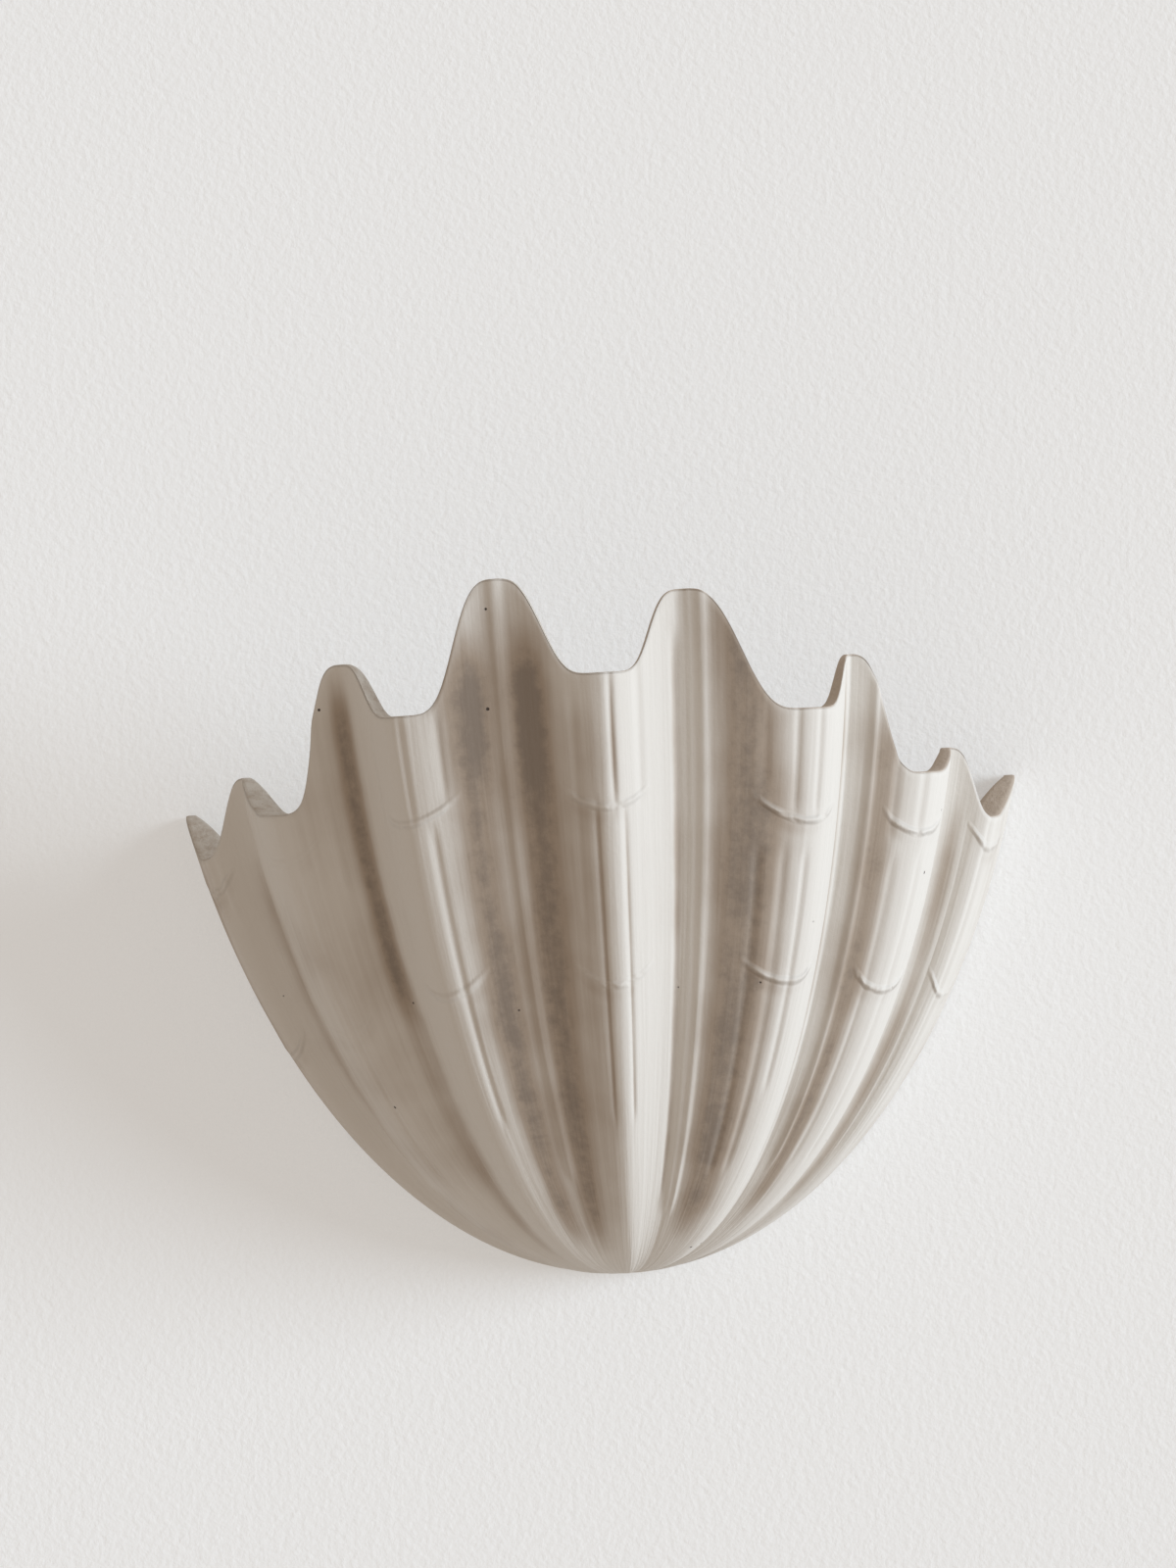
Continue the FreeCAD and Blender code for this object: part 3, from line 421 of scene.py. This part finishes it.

# The colour: bare plaster, thin wash over it, thick wash in crumbs, pinholes, and the raw inside; the wash
# also lays painted shade on the flanks turned from the window.
# The painted shadow below the growth ridges darkens the colour along with the wash.
settled_wash_and_shade = weighted(tree, ((wash_and_shade, 1.0), (swing(tree, clouds, 0.7), 1.0), (swing(tree, wide_brush, 0.36), 1.0),
                          (swing(tree, brush, 0.2), 1.0), (ridge_shadow, 0.14)))
thin = ramp(tree, settled_wash_and_shade, 0.05, 0.95)
thick = ramp(tree, sum_up(tree, "ADD", settled_wash_and_shade, swing(tree, crumbs, 0.9)), 0.78, 1.35, 0.0, 0.75)
colour = blend(tree, thick, blend(tree, thin, bare_plaster, thin_wash_and_shade), thick_wash_and_shade)
colour = blend(tree, sum_up(tree, "MULTIPLY", ridge, 0.55), colour, bare_plaster)
# The pinholes are painted near black: painted shade inside the pits.
holes = put(tree, "TexVoronoi", {"Vector": object_place, "Scale": 38.0}).outputs["Distance"]
holes = ramp(tree, holes, 0.022, 0.034, 1.0, 0.0)
colour = blend(tree, holes, colour, pinhole_painted_shade)
# The raw inside turns browner on the right half: painted shade, since those faces turn away from the window.
painted_shade_rightwards = ramp(tree, put(tree, "SeparateXYZ", {0: object_place}).outputs[0], -0.02, 0.02)
raw = blend(tree, ramp(tree, crumbs, 0.3, 0.6, 0.35), thin_wash_and_shade, raw_left)
colour = blend(tree, inside, colour, blend(tree, painted_shade_rightwards, raw, raw_in_painted_shade))
tree.links.new(colour, shader.inputs["Base Color"])
shader.inputs["Roughness"].default_value = 0.9

# The fine relief, in millimetres.
relief = weighted(tree, ((ridge, 1.2), (brush, 0.16), (wide_brush, 0.4), (speckle, 0.12),
                         (sum_up(tree, "MULTIPLY", crumbs, inside), 1.2), (holes, -0.8)))
bump = put(tree, "Bump", {"Strength": 1.0, "Distance": MM, "Height": relief})
tree.links.new(bump.outputs[0], shader.inputs["Normal"])
mesh.materials.append(plaster)
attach(shell, "shell_side")
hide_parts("shell")


# The hanger: a powder-coated steel plate screwed to the wall with two bent hooks, and a zinc
# plated bar with its screws and washers that is fixed to the shell's two lugs by brass inserts.
def handling_group():
    """Shade, gloss and unevenness that a made surface picks up: soft clouds of a given size."""
    group = bpy.data.node_groups.new("handling", "ShaderNodeTree")
    for name, kind in (("Colour", "Color"), ("Worn Colour", "Color"), ("Wear", "Float"), ("Size", "Float"),
                       ("Roughness", "Float"), ("Stretch", "Vector")):
        group.interface.new_socket(name, in_out="INPUT", socket_type="NodeSocket" + kind)
    for name, kind in (("Colour", "Color"), ("Roughness", "Float"), ("Height", "Float")):
        group.interface.new_socket(name, in_out="OUTPUT", socket_type="NodeSocket" + kind)
    given = group.nodes.new("NodeGroupInput").outputs
    where = put(group, "TexCoord", {}).outputs["Object"]
    where = put(group, "VectorMath", {0: where, 1: given["Stretch"]}, operation="MULTIPLY").outputs[0]
    soft = noise(group, where, given["Size"], detail=4.0)
    fine = noise(group, where, sum_up(group, "MULTIPLY", given["Size"], 9.0), detail=2.0)
    worn = sum_up(group, "MULTIPLY", ramp(group, soft, 0.35, 0.7), given["Wear"])
    result = group.nodes.new("NodeGroupOutput").inputs
    group.links.new(blend(group, worn, given["Colour"], given["Worn Colour"]), result["Colour"])
    group.links.new(sum_up(group, "ADD", given["Roughness"], swing(group, soft, 0.16)), result["Roughness"])
    group.links.new(fine, result["Height"])
    return group


handling = handling_group()


def finish_nodes(name, nodes, colour, worn, wear, size, rough, metal=0.0, grain=0.04, stretch=(1, 1, 1)):
    """One finish for the CAD nodes that share it: worn is the colour where it is handled, wear how
    much of that shows, size how many clouds there are to a metre, and grain a height in mm."""
    made, tree, shader = new_material(name)
    handled = put(tree, "Group", {}, node_tree=handling)
    given = {"Colour": colour + (1,), "Worn Colour": worn + (1,), "Wear": wear, "Size": size,
             "Roughness": rough, "Stretch": stretch}
    for key, value in given.items():
        handled.inputs[key].default_value = value
    tree.links.new(handled.outputs["Colour"], shader.inputs["Base Color"])
    tree.links.new(handled.outputs["Roughness"], shader.inputs["Roughness"])
    bump = put(tree, "Bump", {"Distance": grain * MM, "Height": handled.outputs["Height"]})
    tree.links.new(bump.outputs[0], shader.inputs["Normal"])
    shader.inputs["Metallic"].default_value = metal
    for node in nodes:
        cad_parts[node].data.materials.clear()
        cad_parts[node].data.materials.append(made)
    return tree, shader


finish_nodes("white powder coat", ["wall_plate"],
             colour=(0.80, 0.80, 0.78), worn=(0.70, 0.69, 0.66), wear=0.5, size=30, rough=0.5, grain=0.12)
finish_nodes("zinc plate", ["hanging_bar", "bar_screws", "bar_washers", "block_screw", "earth_washer",
                            "terminal_screws"],
             colour=(0.60, 0.61, 0.63), worn=(0.44, 0.44, 0.43), wear=0.6, size=45, rough=0.38, metal=1.0,
             stretch=(0.35, 1, 1))
finish_nodes("yellow brass", ["lug_inserts", "earth_stud", "earth_nut", "terminal_barrels"],
             colour=(0.72, 0.52, 0.24), worn=(0.50, 0.34, 0.15), wear=0.6, size=160, rough=0.32, metal=1.0)


# Four felt discs, cut from grey needled felt and glued to the shell's back edge, so that the
# plaster doesn't mark the wall.
tree, shader = finish_nodes("grey felt", ["wall_pads"],
                            colour=(0.085, 0.08, 0.07), worn=(0.15, 0.14, 0.13), wear=0.9, size=900,
                            rough=0.95, grain=0.4)
shader.inputs["Sheen Weight"].default_value = 0.3


# The connections: a milky nylon block with brass tubes and zinc plated screws, a tinned ring tag
# on the earth stud, and a soft rubber ring where the cable comes through the plate.
finish_nodes("milky nylon", ["terminal_block", "wire_clip"],
             colour=(0.74, 0.74, 0.69), worn=(0.66, 0.65, 0.58), wear=0.5, size=60, rough=0.45)
finish_nodes("tinned brass", ["earth_tag"],
             colour=(0.62, 0.61, 0.57), worn=(0.48, 0.46, 0.41), wear=0.6, size=200, rough=0.35, metal=1.0)
finish_nodes("black rubber", ["cable_grommet"],
             colour=(0.022, 0.022, 0.022), worn=(0.05, 0.05, 0.05), wear=0.5, size=120, rough=0.62, grain=0.08)


# Three stranded wires in coloured sleeving run from the block and the stud to the lampholder.
# The earth's is green with yellow bands.
finish_nodes("brown sleeving", ["wire_live"],
             colour=(0.095, 0.036, 0.016), worn=(0.14, 0.06, 0.03), wear=0.4, size=140, rough=0.42)
finish_nodes("blue sleeving", ["wire_neutral"],
             colour=(0.018, 0.075, 0.32), worn=(0.04, 0.11, 0.38), wear=0.4, size=140, rough=0.42)
earth_green = (0.035, 0.27, 0.045)
earth_yellow = (0.80, 0.62, 0.03)
tree, shader = finish_nodes("green and yellow sleeving", ["wire_earth"],
                            colour=earth_green, worn=earth_green, wear=0.0, size=140, rough=0.42)
sleeve_place = put(tree, "TexCoord", {}).outputs["Object"]
bands = put(tree, "TexWave", {"Vector": sleeve_place, "Scale": 60.0}, bands_direction="DIAGONAL")
yellow_share = ramp(tree, bands.outputs["Fac"], 0.62, 0.68)
banded = blend(tree, yellow_share, earth_green + (1,), earth_yellow + (1,))
tree.links.new(banded, shader.inputs["Base Color"])


# The lamp's arm is a strip of zinc plated steel bent into an L. A threaded tube with its washer
# and nut clamps the lampholder to it, and two screws hold the arm to the plate.
finish_nodes("plated strip", ["lamp_arm", "arm_screws", "nipple", "nipple_washer", "nipple_nut"],
             colour=(0.60, 0.61, 0.63), worn=(0.46, 0.45, 0.43), wear=0.5, size=50, rough=0.34, metal=1.0,
             stretch=(1, 0.3, 1))


# The lampholder: white glazed ceramic with a stamped brass screw sleeve, a sprung brass contact
# and two brass tags, and a moulded ring round its mouth.
tree, shader = finish_nodes("glazed ceramic", ["holder_body"],
                            colour=(0.79, 0.79, 0.76), worn=(0.72, 0.71, 0.67), wear=0.5, size=40, rough=0.22)
shader.inputs["Coat Weight"].default_value = 0.4
finish_nodes("stamped brass", ["holder_sleeve", "holder_contact", "holder_terminals", "bulb_contact"],
             colour=(0.74, 0.55, 0.26), worn=(0.55, 0.38, 0.17), wear=0.5, size=120, rough=0.28, metal=1.0)
finish_nodes("moulded white", ["shade_ring", "bulb_body"],
             colour=(0.83, 0.83, 0.81), worn=(0.78, 0.77, 0.73), wear=0.4, size=35, rough=0.3)


# The lamp: a nickel plated screw cap with its black glass foot, a white body and a frosted globe
# that hides its light source.
finish_nodes("nickel plate", ["bulb_cap"],
             colour=(0.68, 0.64, 0.56), worn=(0.54, 0.50, 0.43), wear=0.5, size=120, rough=0.26, metal=1.0)
finish_nodes("black glass", ["bulb_insulator"],
             colour=(0.02, 0.02, 0.02), worn=(0.04, 0.04, 0.04), wear=0.3, size=90, rough=0.15)
tree, shader = finish_nodes("frosted globe", ["bulb_globe"],
                            colour=(0.88, 0.88, 0.87), worn=(0.83, 0.83, 0.81), wear=0.5, size=30, rough=0.42)
shader.inputs["Subsurface Weight"].default_value = 0.2
shader.inputs["Subsurface Radius"].default_value = (0.01, 0.01, 0.01)


# The wall it hangs on: painted plasterboard, not part of the light. It lets the eye through from
# behind, and lets light through where something lies against it, so that the back can be seen.
wall_half = 3.0
wall_y = 0.5 * MM
wall_lies_against = 8.0 * MM
wall_paleness = 0.34
wall_mesh = bpy.data.meshes.new("room_wall")
wall_mesh.from_pydata([(-wall_half, wall_y, -wall_half), (wall_half, wall_y, -wall_half),
                       (wall_half, wall_y, wall_half), (-wall_half, wall_y, wall_half)], [], [(0, 1, 2, 3)])
room_wall = bpy.data.objects.new("room_wall", wall_mesh)
bpy.context.collection.objects.link(room_wall)
paint, tree, shader = new_material("wall paint")
shader.inputs["Base Color"].default_value = (0.90, 0.90, 0.89, 1)
shader.inputs["Roughness"].default_value = 0.9
grit = noise(tree, put(tree, "TexCoord", {}).outputs["Object"], 260.0, 4.0, 0.6)
grit_bump = put(tree, "Bump", {"Distance": 0.6 * MM, "Height": grit})
tree.links.new(grit_bump.outputs[0], shader.inputs["Normal"])
glow = put(tree, "Emission", {"Color": (0.985, 0.985, 0.975, 1), "Strength": 1.0})
light_path = put(tree, "LightPath", {}).outputs
seen = sum_up(tree, "MULTIPLY", light_path["Is Camera Ray"], wall_paleness)
lit = put(tree, "MixShader", {0: seen, 1: shader.outputs[0], 2: glow.outputs[0]})
close = sum_up(tree, "LESS_THAN", light_path["Ray Length"], wall_lies_against)
open_to = sum_up(tree, "MAXIMUM", put(tree, "NewGeometry", {}).outputs["Backfacing"], close)
clear = put(tree, "BsdfTransparent", {})
let_through = put(tree, "MixShader", {0: open_to, 1: lit.outputs[0], 2: clear.outputs[0]})
tree.links.new(let_through.outputs[0], tree.nodes["Material Output"].inputs[0])
wall_mesh.materials.append(paint)


# The light of the room: a wide window on the right, a little in front of the wall and a little
# above the light, and the warm pale room all round.
window = bpy.data.lights.new("window", "SUN")
window.angle = math.radians(28)
window.energy = 2.7
window.color = (0.87, 0.99, 1.12)
window_object = bpy.data.objects.new("window", window)
bpy.context.collection.objects.link(window_object)
towards_window = (0.91, -0.39, 0.16)
tilt = math.atan2(math.hypot(*towards_window[:2]), towards_window[2])
window_object.rotation_euler = (tilt, 0, math.atan2(towards_window[0], -towards_window[1]))
room = bpy.data.worlds.new("room")
bpy.context.scene.world = room
room.use_nodes = True
seen = put(room.node_tree, "LightPath", {}).outputs["Is Camera Ray"]
backdrop = put(room.node_tree, "Background", {"Color": (0.80, 0.80, 0.79, 1), "Strength": 1.0})
around = room.node_tree.nodes["Background"]
around.inputs["Color"].default_value = (1.12, 0.97, 0.84, 1)
around.inputs["Strength"].default_value = 0.42
seen_or_not = put(room.node_tree, "MixShader", {0: seen, 1: around.outputs[0], 2: backdrop.outputs[0]})
room.node_tree.links.new(seen_or_not.outputs[0], room.node_tree.nodes["World Output"].inputs[0])


# The camera stands level in front of the wall, a little left of the light's lowest point.
camera_back = 1.9
frame_height = 0.8
camera = bpy.data.cameras.new("camera")
camera.sensor_fit = "VERTICAL"
camera.sensor_height = 36.0
camera.lens = camera.sensor_height * camera_back / frame_height
camera_object = bpy.data.objects.new("camera", camera)
camera_left = 0.020
camera_height = 0.0785
camera_object.location = (-camera_left, -camera_back, camera_height)
camera_object.rotation_euler = (math.pi / 2, 0, 0)
bpy.context.collection.objects.link(camera_object)
bpy.context.scene.camera = camera_object
bpy.context.scene.view_settings.view_transform = "Standard"
